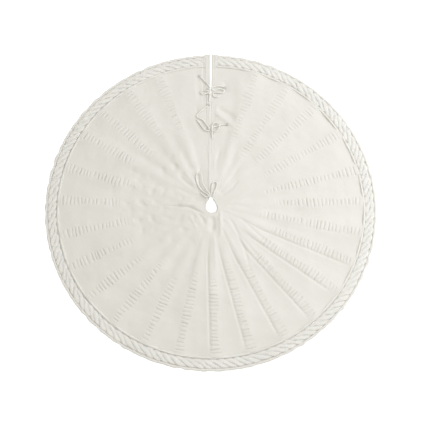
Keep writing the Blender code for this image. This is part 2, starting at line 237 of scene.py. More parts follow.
# Plackets: lines of stitching at these distances from the inner edge, ridges, and the curl of the edges
SEAMS = {"left": (0.0105, 0.018), "right": (0.0095, 0.0155)}
SEAM_STITCH = 0.0075
SEAM_DEPTH = 0.0014
SEAM_HALF_WIDTH = 0.0012
SEAM_SPREAD = (0.65, 0.35)
PLACKET_RIDGES = 4
PLACKET_RIDGE_HEIGHT = 0.0005
PLACKET_RIDGE_WIDTHS = (0.008, 0.016)
PLACKET_WIDE = (0.15, 0.42)
PLACKET_RISE_AT_NECK = 0.0003
PLACKET_CURL = (0.0003, 0.0012)
PLACKET_WAVE = 0.0005
PLACKET_EDGE_WAVE = 0.0004
PLACKET_THICKNESS = 0.0046
PLACKET_SET_BACK = 0.0002
PLACKET_SHARP_ANGLE = math.radians(60)
LEAST_FROM_SLIT = 0.0001
BORDER_RISE = 0.0035
BORDER_RISE_RADII = (0.548, 0.562)
SLIT_HALF_GAP = (0.00015, 0.0027)
SLIT_OPENING = (0.4, 0.55)

# How far pieces reach under the ones that cover their edges
UNDER_WELT = 0.0022
UNDER_CASING = 0.004
PANEL_UNDER_PLACKET = 0.0012
BORDER_UNDER_PLACKET = 0.0015

# Border: the band, its welt, the cable of crossing strands, and the hem
BAND_PADDING = 0.003
BAND_RELIEF = 0.0016
BAND_RELIEF_PITCH = 0.03
BAND_RELIEF_SLANT = 0.06
BAND_RELIEF_INSIDE = (0.004, 0.009)
BAND_RELIEF_OUTSIDE = 0.005
WELT_HALF_WIDTH = 0.0046
WELT_FOOT = 0.0045
WELT_RISE = 0.0092
WELT_WANDER = 0.0007
HEM_OVERLAP = 0.0012
HEM_SET_BACK = 0.001
HEM_WANDER = 0.0013
HEM_TOP = 0.0098
HEM_RIDGE = 0.0004
HEM_RIDGE_PITCH = 0.0062
HEM_RIDGES_FROM = 0.6
LUMP_HEIGHT = 0.0006
CABLE_STRANDS = 3
CABLE_PITCH = 0.09
CABLE_SWAY = 0.0098
CABLE_LIFT = 0.0012
CABLE_HALF_WIDTH = 0.008
CABLE_HALF_HEIGHT = 0.0028
CABLE_SWELL = 0.13
CABLE_STITCH = 0.0076
CABLE_STITCH_SWELL = 0.085
CABLE_STITCH_OFFSET = 2.1
CABLE_STITCH_JITTER = 1.2
CABLE_DRIFT = 0.5
CABLE_JITTER = 0.12
STRAND_UV_RADIUS = 0.0052

# Neck casing: uneven gathers all round
GATHER_SIZE = 0.00045
GATHERS_ROUND = 31
CASING_LUMPS = 0.0003

# Cords and threads
CORD_TWIST = 0.0085
CORD_STEP = 0.0011
CORD_END = 0.0012
CORD_WAIST = 0.84
ROUTE_STEPS = 8
TACK_STITCHES = 6
TACK_START = 0.0009
TACK_SPACING = 0.00105
TACK_HALF_WIDTH = 0.0044
TACK_HEIGHT = 0.0034
TACK_LIFT = 0.0003
TACK_LEAN = 0.0006
TACK_SWAY = 0.0005
THREAD_RADIUS = 0.00052
KNOT_FROM_SLIT = 0.0068
KNOT_FROM_BOW = -0.001
KNOT_TURNS = (0.5, -0.6)
KNOT_SPACING = 0.0028
KNOT_HALF_WIDTH = 0.0044
KNOT_HEIGHT = 0.0056
KNOT_RADIUS = 0.0017

# Knits: colour, a darker tone for random patches (also the base of the painted shade in the stitch gaps),
# width of a wale, height of a course, depth of relief and softness
KNITS = {
    "panel_knit": ((0.735, 0.715, 0.665), (0.7, 0.68, 0.628), 0.004, 0.0032, 0.00035, 0.0),
    "border_knit": ((0.802, 0.783, 0.734), (0.764, 0.745, 0.694), 0.0042, 0.0034, 0.0006, 0.3),
    "band_knit": ((0.75, 0.732, 0.684), (0.715, 0.696, 0.645), 0.0036, 0.003, 0.0004, 0.0),
}
# Cords: the look's name, colour, the painted shade in the grooves between threads, and pitch of the threads
CORDS = {
    "tie_cord": ("tie_cord", (0.93, 0.915, 0.865), (0.85, 0.832, 0.775), 0.0016),
    "stitching": ("stitching_thread", (0.88, 0.865, 0.81), (0.78, 0.76, 0.7), 0.0008),
}
NOISE_RANGE = (0.3, 0.7)
PATCH_NOISE = (7.0, 3.0)
KNIT_FUZZ = 900.0
KNIT_FUZZ_SHARE = 0.35
KNIT_ROUGHNESS = (0.86, 0.97)
# How much darker than the patch tone the painted shade in the stitch gaps is
KNIT_GAP_SHADE = 0.86
CORD_FUZZ = 1100.0
CORD_FUZZ_SHARE = 0.8
CORD_ROUGHNESS = (0.72, 0.86)
CORD_THREAD_SLANT = 900.0
CORD_RELIEF = 0.00025

# Routes of the ties, as in the CAD: x, distance from the knot along the slit, and layers of cord underneath
OUTER_BOW_Y = 0.4643
MIDDLE_BOW_Y = 0.3043
OUTER_LEFT = (
    (-0.041, 0.053, 0), (-0.031, 0.042, 0), (-0.02, 0.03, 0), (-0.0105, 0.018, 0),
    (-0.0042, 0.008, 0), (-0.0042, -0.002, 0), (-0.011, -0.007, 0), (-0.022, -0.005, 0),
    (-0.033, -0.007, 0), (-0.038, -0.014, 0), (-0.032, -0.021, 0), (-0.02, -0.019, 0),
    (-0.0105, -0.016, 0), (-0.0048, -0.022, 0), (-0.0046, -0.031, 0), (-0.0056, -0.041, 0),
    (-0.0048, -0.05, 0),
)
OUTER_RIGHT = (
    (0.052, 0.008, 0), (0.041, 0.011, 0), (0.028, 0.012, 0), (0.015, 0.011, 0),
    (0.0058, 0.006, 0), (0.005, -0.002, 0), (0.0115, -0.006, 0), (0.023, -0.001, 0),
    (0.035, 0.001, 0), (0.046, -0.002, 0), (0.05, -0.009, 0), (0.043, -0.015, 0),
    (0.03, -0.015, 0), (0.018, -0.014, 0), (0.0095, -0.016, 0), (0.0082, -0.024, 0),
    (0.013, -0.031, 0), (0.022, -0.033, 0), (0.031, -0.028, 0),
)
MIDDLE_LEFT = (
    (-0.013, 0.094, 0), (-0.022, 0.085, 0), (-0.034, 0.073, 0), (-0.047, 0.061, 0),
    (-0.053, 0.051, 0), (-0.047, 0.042, 0), (-0.036, 0.037, 0), (-0.026, 0.029, 0),
    (-0.019, 0.017, 0), (-0.0115, 0.007, 0), (-0.005, 0.0, 0), (-0.0068, -0.009, 0),
    (-0.016, -0.011, 0), (-0.026, -0.004, 0), (-0.035, 0.009, 0), (-0.044, 0.022, 0),
    (-0.054, 0.035, 0),
)
MIDDLE_RIGHT = (
    (0.056, 0.015, 0), (0.043, 0.014, 0), (0.031, 0.011, 0), (0.018, 0.006, 0),
    (0.0075, 0.003, 0), (0.0052, -0.006, 0), (0.011, -0.012, 0), (0.02, -0.012, 0),
    (0.029, -0.004, 0.5), (0.031, 0.008, 1.2), (0.026, 0.019, 0.7), (0.016, 0.021, 0.4),
    (0.0085, 0.015, 0.9), (0.0052, 0.005, 1.2), (0.0046, -0.006, 1.2), (0.0046, -0.018, 0.5),
    (0.0046, -0.028, 0), (0.005, -0.041, 0),
)
# The neck ties: x, y, and layers of cord underneath, from where they lie on the cloth
NECK_LEFT = (
    (-0.0046, 0.0266, 0), (-0.0032, 0.032, 0), (-0.0036, 0.039, 0), (-0.009, 0.048, 0),
    (-0.018, 0.06, 0), (-0.026, 0.074, 0), (-0.032, 0.09, 0), (-0.033, 0.106, 0),
    (-0.037, 0.12, 0), (-0.047, 0.124, 0), (-0.054, 0.113, 0), (-0.053, 0.095, 0),
    (-0.048, 0.077, 0), (-0.04, 0.062, 0), (-0.029, 0.05, 0), (-0.018, 0.0425, 0),
    (-0.01, 0.037, 0), (-0.0095, 0.03, 0), (-0.016, 0.0275, 0), (-0.026, 0.034, 0),
    (-0.036, 0.045, 0),
)
NECK_RIGHT = (
    (0.0046, 0.0266, 0), (0.0032, 0.032, 0), (0.0031, 0.043, 0), (0.0032, 0.056, 0),
    (0.0036, 0.07, 0), (0.0065, 0.082, 0), (0.014, 0.0875, 0), (0.0215, 0.083, 0),
    (0.0212, 0.07, 0), (0.0165, 0.056, 0), (0.0125, 0.045, 0), (0.0104, 0.036, 0),
    (0.0098, 0.0285, 0), (0.0105, 0.021, 0),
)

# Creases of the cloth, in millimetres: depth (negative for a raised fold), half width, and points on the plan
CREASES = (
    (2, 5.5, ((21, 58), (49, 43), (78, 65), (105, 106))),
    (2, 13, ((21, 72), (43, 56), (68, 77), (94, 112))),
    (4.2, 4.5, ((-170, -1), (-110, -7), (-80, -9), (-42, -23), (-22, -36))),
    (-1.8, 6, ((-120, 5), (-80, 3), (-45, -8))),
    (2.4, 6, ((-54, -22), (-33, -48), (-20, -80))),
    (-2.2, 7, ((-75, -35), (-68, -62), (-50, -90))),
    (6, 11, ((0, -36), (6, -65), (4, -110))),
    (-3.6, 7.5, ((31, -12), (33, -50), (36, -95), (34, -130))),
    (2.2, 7, ((60, -7), (90, 0), (150, -10))),
    (2.2, 6, ((52, -26), (80, -72), (120, -160), (150, -270))),
    (1.8, 6, ((100, -40), (160, -101), (240, -170))),
    (1.8, 6, ((90, -95), (168, -190), (230, -262))),
    (-1.6, 7, ((10, -100), (16, -180), (20, -250))),
    (-4.4, 10, ((8, 372), (50, 342), (92, 308))),
    (4.4, 11, ((22, 388), (56, 368), (95, 340))),
    (2.4, 8, ((16, 120), (20, 170), (36, 225))),
    (2.4, 7, ((-60, 60), (-90, 85), (-125, 125))),
    (-1.8, 7, ((-45, 64), (-80, 105), (-105, 140))),
    (1.8, 7, ((-45, 35), (-85, 45), (-130, 70))),
    (2.8, 12, ((-24, 16), (-40, 14), (-70, 22))),
    (3.2, 12, ((50, 448), (54, 468), (52, 505))),
    (1.2, 2.6, ((-30, 600), (-29, 500), (-27, 380))),
    (1.6, 5, ((-50, 560), (-48, 470), (-50, 380), (-46, 330))),
)


# ---- shape of the skirt


def blend(low, high, share):
    return low + (high - low) * share


def ease(low, high, value):
    """0 before low and 1 after high, smoothly."""
    share = np.clip((value - low) / (high - low), 0.0, 1.0)
    return share * share * (3 - 2 * share)


def bell(value, half_width):
    return np.exp(-((value / half_width) ** 2))


def crest(radius):
    """Height of the fold lines above the floor."""
    return NECK_CREST - CREST_SLOPE * (radius - NECK_RADIUS)


def plain_top(radius):
    """Height of the CAD's knit between two ribs."""
    return crest(radius) - FOLD_CLEARANCE - RIB_HEIGHT * ease(*RIB_FADE, radius)


def rib_places():
    """Each rib's turn: evenly spaced, then shifted a little as the skirt lies."""
    places = []
    for rib in range(PANELS - 1):
        if rib < FOLD_RIBS[0]:
            shift = LEFT_FLAP_SHIFT
        elif rib > FOLD_RIBS[1]:
            shift = RIGHT_FLAP_SHIFT
        elif rib in FOLD_RIBS:
            shift = 0.0
        else:
            shift = MAIN_SHIFT - MAIN_SHIFT_BACK * float(ease(*SHIFT_BACK_RIBS, rib))
        places.append(END_PANEL_ANGLE + rib * PANEL_ANGLE + shift)
    return np.array(places)


RIBS = rib_places()


class Waves:
    """Smooth seeded noise: a sum of waves in many directions, about -1 to 1."""

    def __init__(self, seed, size, count=14):
        draw = np.random.default_rng(seed)
        angles = draw.uniform(0, math.tau, count)
        sizes = size * draw.uniform(0.7, 1.6, count)
        self.across = math.tau * np.cos(angles) / sizes
        self.along = math.tau * np.sin(angles) / sizes
        self.start = draw.uniform(0, math.tau, count)
        self.count = count

    def __call__(self, x, y):
        total = np.zeros(np.broadcast(x, y).shape)
        for across, along, start in zip(self.across, self.along, self.start):
            total += np.sin(across * x + along * y + start)
        return total / math.sqrt(self.count)


# Waves on the plan and along the ribs, in metres
broad_waves = Waves(11, 0.26)
small_waves = Waves(12, 0.075)
rung_waves = Waves(13, 0.05)
length_waves = Waves(14, 0.03)
tilt_waves = Waves(15, 0.06)
depth_waves = Waves(16, 0.09)
rumple_waves = Waves(17, 0.042)

# Waves round the border and the casing, in degrees
wander = Waves(21, 16.0, 8)
lumps = Waves(22, 3.4, 10)


def crease_heights(x, y):
    """What the creases and raised folds add to the height."""
    total = np.zeros(x.shape)
    for depth, half_width, route in CREASES:
        points = [np.array(point) / MILLIMETRES for point in route]
        lengths = [np.linalg.norm(end - start) for start, end in zip(points, points[1:])]
        whole = sum(lengths)
        nearest = np.full(x.shape, 1e9)
        place = np.zeros(x.shape)
        done = 0.0
        for start, end, length in zip(points, points[1:], lengths):
            share = ((x - start[0]) * (end[0] - start[0]) + (y - start[1]) * (end[1] - start[1])) / length**2
            share = np.clip(share, 0, 1)
            far = np.hypot(x - blend(start[0], end[0], share), y - blend(start[1], end[1], share))
            closer = far < nearest
            nearest = np.where(closer, far, nearest)
            place = np.where(closer, (done + share * length) / whole, place)
            done += length
        fade = ease(-0.05, 0.25, place) * ease(1.05, 0.70, place)
        total -= depth / MILLIMETRES * fade * bell(nearest, half_width / MILLIMETRES)
    return total


def rib_room(across, width):
    """Half width of a rib's soft band, which is steeper on its clockwise side."""
    return np.minimum(np.where(across < 0, *RIB_SIDES), width * RIB_SIDE_SHARE)


def rib_rise(across, width, loft):
    """How high the knit stands, from 0 at the CAD's height between ribs to 1 on a rib."""
    band = np.exp(-((np.abs(across) / rib_room(across, width)) ** RIB_STEEPNESS))
    slope = 0.5 + 0.5 * np.cos(math.pi * np.clip(across / (width / 2), -1, 1))
    raised = RIB_BAND_SHARE * band + (1 - RIB_BAND_SHARE) * slope
    return raised + (1 - raised) * loft


def spread(middle, swing, number):
    """A value that jumps about its middle from one number to the next."""
    return middle + swing * np.sin(number)


def rung_relief(radius, rib, across, width, faint):
    """What the rungs add: puffs across the rib, parted by narrow, uneven grooves."""
    lane = rib * LANE
    start = RUNGS_START - RUNGS_START_SWING * np.cos(np.radians(RIBS[rib] + 90))
    start += RUNGS_START_SPREAD * np.sin(rib * 2.7)
    present = ease(start + RUNGS_START_FADE[0], start + RUNGS_START_FADE[1], radius)
    present *= ease(*RUNGS_END, radius)

    slant = RUNG_TILT * tilt_waves(radius, lane + 5) * across
    phase = radius / RUNG_PITCH + RUNG_JITTER * rung_waves(radius, lane) + slant
    number = np.floor(phase + 0.5)
    from_groove = np.abs(phase - np.round(phase)) * RUNG_PITCH

    reach = RUNG_HALF_WIDTH * spread(*RUNG_WIDTH_SPREAD, number * 12.9898 + rib * 7.1)
    reach *= blend(RUNG_WIDTH_AT_NECK, 1.0, ease(*RUNG_WIDENING, radius))
    reach = np.minimum(reach, width * RUNG_WIDTH_SHARE)
    middle = RUNG_SHIFT * length_waves(number * RUNG_SHIFT_STEP, lane + 9)
    inside = ease(reach + RUNG_END_FADE[0], reach + RUNG_END_FADE[1], np.abs(across - middle))

    depth = RUNG_DEPTH * spread(*RUNG_DEPTH_SPREAD, number * 78.233 + rib * 3.3)
    depth *= (1 + RUNG_DEPTH_WAVE * depth_waves(radius, lane + 2)) * (1 - RUNG_FAINTER * faint)
    groove = depth * bell(from_groove, RUNG_GROOVE)
    return -present * inside * (groove + RUNG_PUFF * np.cos(math.tau * phase))


def flank_groove(radius, rib, across, width):
    """Depth of the groove along the clockwise side of the ribs at the front."""
    grooved = ease(*FLANK_FIRST_RIBS, rib) * ease(*FLANK_LAST_RIBS, rib)
    grooved *= ease(*FLANK_RADII, radius) * ease(*RIM_FADE, radius)
    beside = across + FLANK_PLACE * rib_room(across, width)
    return FLANK_DEPTH * grooved * bell(beside, FLANK_HALF_WIDTH)


def gather_relief(radius, rib, across):
    """What the gathers round the neck add: a narrow fold on the rib with a groove beside it."""
    present = ease(*GATHER_START, radius) * ease(*GATHER_END, radius)
    pull = spread(0.5, 0.5, rib * 4.1 + 1.3) * blend(GATHER_WEAKEST, 1.0, ease(*GATHER_RIBS, rib))
    half_width = GATHER_HALF_WIDTH + GATHER_WIDENING * radius
    fold_height = GATHER_HEIGHT * bell(across, half_width)
    beside = across + GATHER_GROOVE_PLACE + GATHER_GROOVE_SPREADING * radius
    return present * pull * (fold_height - GATHER_DEPTH * bell(beside, half_width))


def loose_waves(x, y, radius, turn, calm):
    """What the waves and rumples of the loose knit add; they are calm by the slit, the folds and the rim."""
    from_fold = np.minimum(np.abs(turn - FLAP_SPAN), np.abs(turn - MAIN_END)) * np.pi / 180 * radius
    loose = calm * blend(LOOSE_AT_RIM, 1.0, ease(*RIM_FADE, radius))
    loose *= blend(LOOSE_AT_FOLD, 1.0, ease(0.0, FOLD_REACH, from_fold))
    far = np.hypot(x - RUMPLE_PLACE[0], (y - RUMPLE_PLACE[1]) * RUMPLE_FLATTENING)
    rumpled = blend(RUMPLE_LEAST, 1.0, ease(*RUMPLE_REACH, far))
    rumpled *= ease(*RUMPLE_FROM_NECK, radius)
    rumple = rumple_waves(x, y)
    rumple = RUMPLE_HEIGHT * rumpled * (rumple - RUMPLE_SHARPNESS * np.abs(rumple))
    return loose * (BROAD_WAVE_HEIGHT * broad_waves(x, y) + SMALL_WAVE_HEIGHT * small_waves(x, y) + rumple)


def neck_hollow(x, y):
    """Share of the hollow's depth: it deepens away from the slit, then rises steeply."""
    share = np.clip(-x / np.interp(y, HOLLOW_Y, HOLLOW_FAR_SIDE), -0.5, 2.0)
    outer_side = ease(HOLLOW_OUTSIDE, HOLLOW_DEEPEST, share)
    ramp = np.where(share < HOLLOW_DEEPEST, share / HOLLOW_DEEPEST, outer_side)
    return np.clip(ramp, 0, 1) * ease(*HOLLOW_START, y) * ease(*HOLLOW_END, y)


def on_plan(radius, turn):
    angle = np.radians(turn + 90)
    return radius * np.cos(angle), radius * np.sin(angle)


def cloth_height(radius, turn):
    """Height of the knit's upper face."""
    x, y = on_plan(radius, turn)
    rib = np.clip(np.searchsorted((RIBS[1:] + RIBS[:-1]) / 2, turn), 0, len(RIBS) - 1)
    across = np.radians(turn - RIBS[rib]) * radius
    width = np.radians(PANEL_ANGLE) * radius
    from_slit = np.where(y < 0, 1.0, np.abs(x))
    faint = ease(*FAINT_TURNS, turn)
    clear = ease(*CLEAR_OF_MIDDLE, np.abs(across) / (width / 2))

    loft = (PANEL_LOFT + FAINT_LOFT * faint) * ease(*LOFT_FROM_SLIT, from_slit)
    loft *= ease(*RIM_FADE, radius)
    drop = RIB_HEIGHT * ease(*RIB_FADE, radius)
    height = crest(radius) - FOLD_CLEARANCE - drop * (1 - rib_rise(across, width, loft))
    height += rung_relief(radius, rib, across, width, faint)
    height += clear * (gather_relief(radius, rib, across) - flank_groove(radius, rib, across, width))
    height += loose_waves(x, y, radius, turn, ease(*CALM_FROM_SLIT, from_slit))
    height += crease_heights(x, y) * ease(*CREASE_FROM_SLIT, from_slit)
    return height - HOLLOW_DEPTH * neck_hollow(x, y)


def placket_edge(radius, outer):
    """Distance of a placket's inner or outer edge from the slit's middle."""
    if not outer:
        return blend(*SLIT_HALF_GAP, ease(*SLIT_OPENING, radius))
    share = (radius - PANEL_INNER) / (RADIUS - PANEL_INNER)
    return blend(*PLACKET_INNER, share) + blend(*PLACKET_WIDTH, share)


def polar(radius, turn, height):
    """Points from a radius, a turn and a height; the neck hole is drawn out and narrowed."""
    x, y = on_plan(radius, turn)
    near = ease(NECK_PULL_REACH, NECK_RADIUS, radius)
    pulled = near * ease(*NECK_PULL_SIDE, y)
    narrow = 1 - NECK_NARROWING * near**2 * ease(-NECK_RADIUS, NECK_RADIUS, y)
    x = x * narrow + NECK_PULL[0] * pulled
    y = y + NECK_PULL[1] * pulled
    return stacked(x, y, height)


def cloth_point(radius, turn):
    return polar(radius, turn, cloth_height(radius, turn))


# ---- meshes


def unit(vectors):
    return vectors / np.maximum(np.linalg.norm(vectors, axis=-1, keepdims=True), 1e-12)


def cloth_normals(radius, turn):
    """Upward normals of the knit's upper face, by small steps each way."""
    turn_step = np.degrees(NORMAL_STEP / radius)
    along = cloth_point(radius + NORMAL_STEP, turn) - cloth_point(radius - NORMAL_STEP, turn)
    across = cloth_point(radius, turn + turn_step) - cloth_point(radius, turn - turn_step)
    return unit(np.cross(along, across))


def stacked(*parts):
    """Numbers side by side along a new last axis, spread to one shape."""
    return np.stack(np.broadcast_arrays(*parts), -1)


def there_and_back(upper, lower):
    """Rows that run over the upper side and back under the lower one."""
    return np.concatenate([upper, lower[:, ::-1]], 1)


def swept_faces(rows, around, start=0):
    """Quads of a closed section of so many points, swept along so many rows, with both ends closed."""
    row, column = np.meshgrid(np.arange(rows - 1), np.arange(around), indexing="ij")
    here = row * around
    after = (column + 1) % around
    corners = [here + column, here + after, here + around + after, here + around + column]
    quads = stacked(*corners).reshape(-1, 4)
    left = np.arange(around // 2 - 1)
    cap = stacked(left, around - 1 - left, around - 2 - left, left + 1)
    last = (rows - 1) * around
    return np.concatenate([quads, cap, cap[:, ::-1] + last]) + start


def joined(parts):
    """One set of points, quads and texture places from several swept parts."""
    points, quads, uvs, start = [], [], [], 0
    for loops, uv in parts:
        rows, around = loops.shape[:2]
        points.append(loops.reshape(-1, 3))
        uvs.append(np.asarray(uv).reshape(-1, 2))
        quads.append(swept_faces(rows, around, start))
        start += rows * around
    return np.concatenate(points), np.concatenate(quads), np.concatenate(uvs)


def in_scene(name, data):
    thing = bpy.data.objects.new(name, data)
    bpy.context.scene.collection.objects.link(thing)
    return thing


def settle(piece, body):
    """Make a piece of the main body follow that body; a flap's piece only has its placement baked into its
    mesh.
    """
    if body == "main":
        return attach(piece, body)
    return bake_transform(piece)


def add_piece(name, node, body, slot, points, quads, uv, normals=None, sharp_angle=None):
    """A mesh of quads that stands for a CAD node, if any, and hides it; main-body pieces follow their body;
    uv is in metres, one a point.
    """
    points = np.asarray(points, np.float32).reshape(-1, 3)
    quads = np.asarray(quads, np.int32)
    mesh = bpy.data.meshes.new(name)
    mesh.vertices.add(len(points))
    mesh.vertices.foreach_set("co", points.ravel())
    mesh.loops.add(quads.size)
    mesh.loops.foreach_set("vertex_index", quads.ravel())
    mesh.polygons.add(len(quads))
    mesh.polygons.foreach_set("loop_start", np.arange(0, quads.size, 4, dtype=np.int32))
    mesh.update(calc_edges=True)
    mesh.polygons.foreach_set("use_smooth", np.ones(len(quads), bool))
    layer = mesh.uv_layers.new(name="cloth")
    layer.data.foreach_set("uv", np.asarray(uv, np.float32).reshape(-1, 2)[quads.ravel()].ravel())
    mesh.materials.append(LOOKS[slot])
    mesh.validate()
    if normals is not None:
        mesh.normals_split_custom_set_from_vertices(np.asarray(normals).reshape(-1, 3).tolist())
    if sharp_angle is not None:
        mesh.set_sharp_from_angle(angle=sharp_angle)
    piece = in_scene(name, mesh)
    if node is not None:
        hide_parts(node)
    settle(piece, body)
    return piece


# ---- materials


class Nodes:
    """Short ways to add and link a material's nodes."""

    def __init__(self, name):
        self.material = bpy.data.materials.new(name)
        self.material.use_nodes = True
        self.tree = self.material.node_tree

    def put(self, socket, value):
        if isinstance(value, bpy.types.NodeSocket):
            self.tree.links.new(value, socket)
        else:
            socket.default_value = value

    def fill(self, node, **values):
        """Sets or links a node's sockets, which are named with underscores for spaces."""
        for name, value in values.items():
            self.put(node.inputs[name.replace("_", " ")], value)
        return node

    def add(self, kind, **values):
        return self.fill(self.tree.nodes.new(f"ShaderNode{kind}"), **values)

    def shade(self, **values):
        self.fill(self.tree.nodes["Principled BSDF"], **values)

    def math(self, operation, *values):
        node = self.add("Math")
        node.operation = operation
        for socket, value in zip(node.inputs, values):
            self.put(socket, value)
        return node.outputs[0]

    def mapped(self, value, low, high, new_low, new_high):
        node = self.add("MapRange", Value=value, From_Min=low, From_Max=high, To_Min=new_low, To_Max=new_high)
        return node.outputs[0]

    def noise(self, scale, detail=2.0):
        """Noise in the object's own space, about 0.3 to 0.7."""
        place = self.add("TexCoord").outputs["Object"]
        return self.add("TexNoise", Vector=place, Scale=scale, Detail=detail).outputs["Fac"]

    def mix(self, share, first, second):
        node = self.add("Mix")
        node.data_type = "RGBA"
        self.put(node.inputs[0], share)
        for socket, colour in zip(node.inputs[6:8], (first, second)):
            self.put(socket, (*colour, 1.0) if isinstance(colour, tuple) else colour)
        return node.outputs[2]

    def cloth_uv(self):
        """Distances across and along the cloth, in metres."""
        node = self.add("UVMap")
        node.uv_map = "cloth"
        return self.add("SeparateXYZ", Vector=node.outputs[0]).outputs[:2]

    def bump(self, height, distance):
        self.shade(Normal=self.add("Bump", Strength=1.0, Distance=distance, Height=height).outputs[0])


def stitch_height(nodes, across, along, wale, course):
    """Knit stitches: two slanted legs in each wale, repeated each course; 0 in the gaps and 1 on the yarn."""
    calc = nodes.math
    cell = calc("FRACT", calc("DIVIDE", across, wale))
    leg = calc("ABSOLUTE", calc("SUBTRACT", cell, 0.5))
    beside = calc("DIVIDE", calc("SUBTRACT", leg, 0.25), 0.25)
    round_leg = calc("SQRT", calc("SUBTRACT", 1.02, calc("MULTIPLY", beside, beside)))
    slanted = calc("ADD", calc("DIVIDE", along, course), calc("MULTIPLY", leg, 1.5))
    turns = calc("ABSOLUTE", calc("SINE", calc("MULTIPLY", slanted, math.pi)))
    return calc("MULTIPLY", round_leg, calc("POWER", turns, 0.6))


def knit_material(name, colour, shade, wale, course, depth, softness):
    """Soft knitted yarn: stitches with painted shade in their gaps, slow changes of colour, and fine fuzz."""
    nodes = Nodes(name)
    stitches = stitch_height(nodes, *nodes.cloth_uv(), wale, course)
    patches = nodes.mapped(nodes.noise(*PATCH_NOISE), *NOISE_RANGE, 0.0, 1.0)
    fuzz = nodes.noise(KNIT_FUZZ)
    # Painted shade: the gaps between the stitches take a darker colour, where the yarn would shade them
    gaps = nodes.mapped(stitches, 0.0, 0.55, 0.35, 0.0)
    painted_gap_shade = tuple(channel * KNIT_GAP_SHADE for channel in shade)
    nodes.shade(
        Base_Color=nodes.mix(gaps, nodes.mix(patches, shade, colour), painted_gap_shade),
        Roughness=nodes.mapped(fuzz, *NOISE_RANGE, *KNIT_ROUGHNESS),
        Sheen_Weight=0.25, Sheen_Roughness=0.5, Specular_IOR_Level=0.25,
        Subsurface_Weight=softness, Subsurface_Radius=(1.0, 0.95, 0.85), Subsurface_Scale=0.004,
    )
    nodes.bump(nodes.math("ADD", stitches, nodes.math("MULTIPLY", fuzz, KNIT_FUZZ_SHARE)), depth)
    return nodes.material


def cord_material(name, colour, shade, pitch):
    """Twisted cotton cord: fine slanted threads along each strand, with painted shade in the grooves between
    them.
    """
    nodes = Nodes(name)
    u, v = nodes.cloth_uv()
    along = nodes.math("MULTIPLY", v, math.tau / pitch)
    threads = nodes.math("SINE", nodes.math("ADD", along, nodes.math("MULTIPLY", u, CORD_THREAD_SLANT)))
    fuzz = nodes.noise(CORD_FUZZ)
    # Painted shade: the colour goes to the darker shade in the troughs between the threads
    nodes.shade(
        Base_Color=nodes.mix(nodes.mapped(threads, -1.0, 0.6, 0.0, 1.0), shade, colour),
        Roughness=nodes.mapped(fuzz, *NOISE_RANGE, *CORD_ROUGHNESS),
        Sheen_Weight=0.2, Specular_IOR_Level=0.3,
    )
    nodes.bump(nodes.math("ADD", threads, nodes.math("MULTIPLY", fuzz, CORD_FUZZ_SHARE)), CORD_RELIEF)
    return nodes.material


LOOKS = {name: knit_material(name, *sizes) for name, sizes in KNITS.items()}
LOOKS.update({slot: cord_material(*sizes) for slot, sizes in CORDS.items()})


# ---- camera, light, floor


def add_camera():
    data = bpy.data.cameras.new("camera")
    data.sensor_width = SENSOR
    data.lens = FOCAL_PIXELS * SENSOR / IMAGE_SIDE
    camera = in_scene("camera", data)
    x, y, z = CAMERA_TARGET
    back = CAMERA_DISTANCE * math.cos(CAMERA_ELEVATION)
    up = CAMERA_DISTANCE * math.sin(CAMERA_ELEVATION)
    camera.location = (x, y - back, z + up)
    camera.rotation_euler = (math.pi / 2 - CAMERA_ELEVATION, 0, 0)
    bpy.context.scene.camera = camera


def add_area_light(name, place, target, size, power, colour):
    data = bpy.data.lights.new(name, "AREA")
    data.shape = "DISK"
    data.size = size
    data.energy = power
    data.color = colour
    light = in_scene(name, data)
    light.location = place
    light.rotation_euler = (Vector(target) - Vector(place)).to_track_quat("-Z", "Y").to_euler()


def add_stage():
    world = bpy.data.worlds.new("studio")
    world.use_nodes = True
    background = world.node_tree.nodes["Background"]
    background.inputs["Color"].default_value = WORLD_COLOUR
    background.inputs["Strength"].default_value = WORLD_STRENGTH
    bpy.context.scene.world = world
    add_area_light("key", *KEY_LIGHT)
    add_area_light("overhead", *OVERHEAD_LIGHT)
    bpy.ops.mesh.primitive_plane_add(size=FLOOR_SIDE, location=(0, 0, -FLOOR_DROP))
    floor = bpy.context.object
    floor.name = "floor"
    nodes = Nodes("floor")
    nodes.shade(**FLOOR)
    floor.data.materials.append(nodes.material)
    bpy.context.scene.view_settings.view_transform = "Standard"


# ---- cords


def smooth_route(route, steps):
    """Points of a Catmull-Rom curve through the route's own points."""
    route = [np.array(point, float) for point in route]
    ends = [route[0] * 2 - route[1]] + route + [route[-1] * 2 - route[-2]]
    points = []
    for before, start, end, after in zip(ends, ends[1:], ends[2:], ends[3:]):
        for step in range(steps):
            share = step / steps
            slope = (end - before) * share
            bend = (before * 2 - start * 5 + end * 4 - after) * share**2
            twist = (start * 3 - before - end * 3 + after) * share**3
            points.append(start + (slope + bend + twist) / 2)
    return np.array(points + [route[-1]])


def distances_along(points):
    steps = np.linalg.norm(np.diff(points, axis=0), axis=1)
    return np.concatenate([[0], np.cumsum(steps)])


def respaced(points, spacing):
    """The same line with evenly spaced points, and the distance of each along it."""
    done = distances_along(points)
    count = max(int(round(done[-1] / spacing)), 4)
    wanted = np.linspace(0, done[-1], count + 1)
    return stacked(*[np.interp(wanted, done, points[:, axis]) for axis in range(3)]), wanted


def line_frames(points):
    """Sideways and upward directions along a line that nowhere stands upright."""
    tangent = unit(np.gradient(points, axis=0))
    side = unit(np.cross(UP, tangent))
    return side, np.cross(tangent, side)


def tube(line, side, up, across, upward):
    """Loops of points round a line, from distances sideways and upwards in each loop."""
    return line[:, None, :] + side[:, None, :] * across[..., None] + up[:, None, :] * upward[..., None]


def circle(sides):
    return math.tau * np.arange(sides) / sides


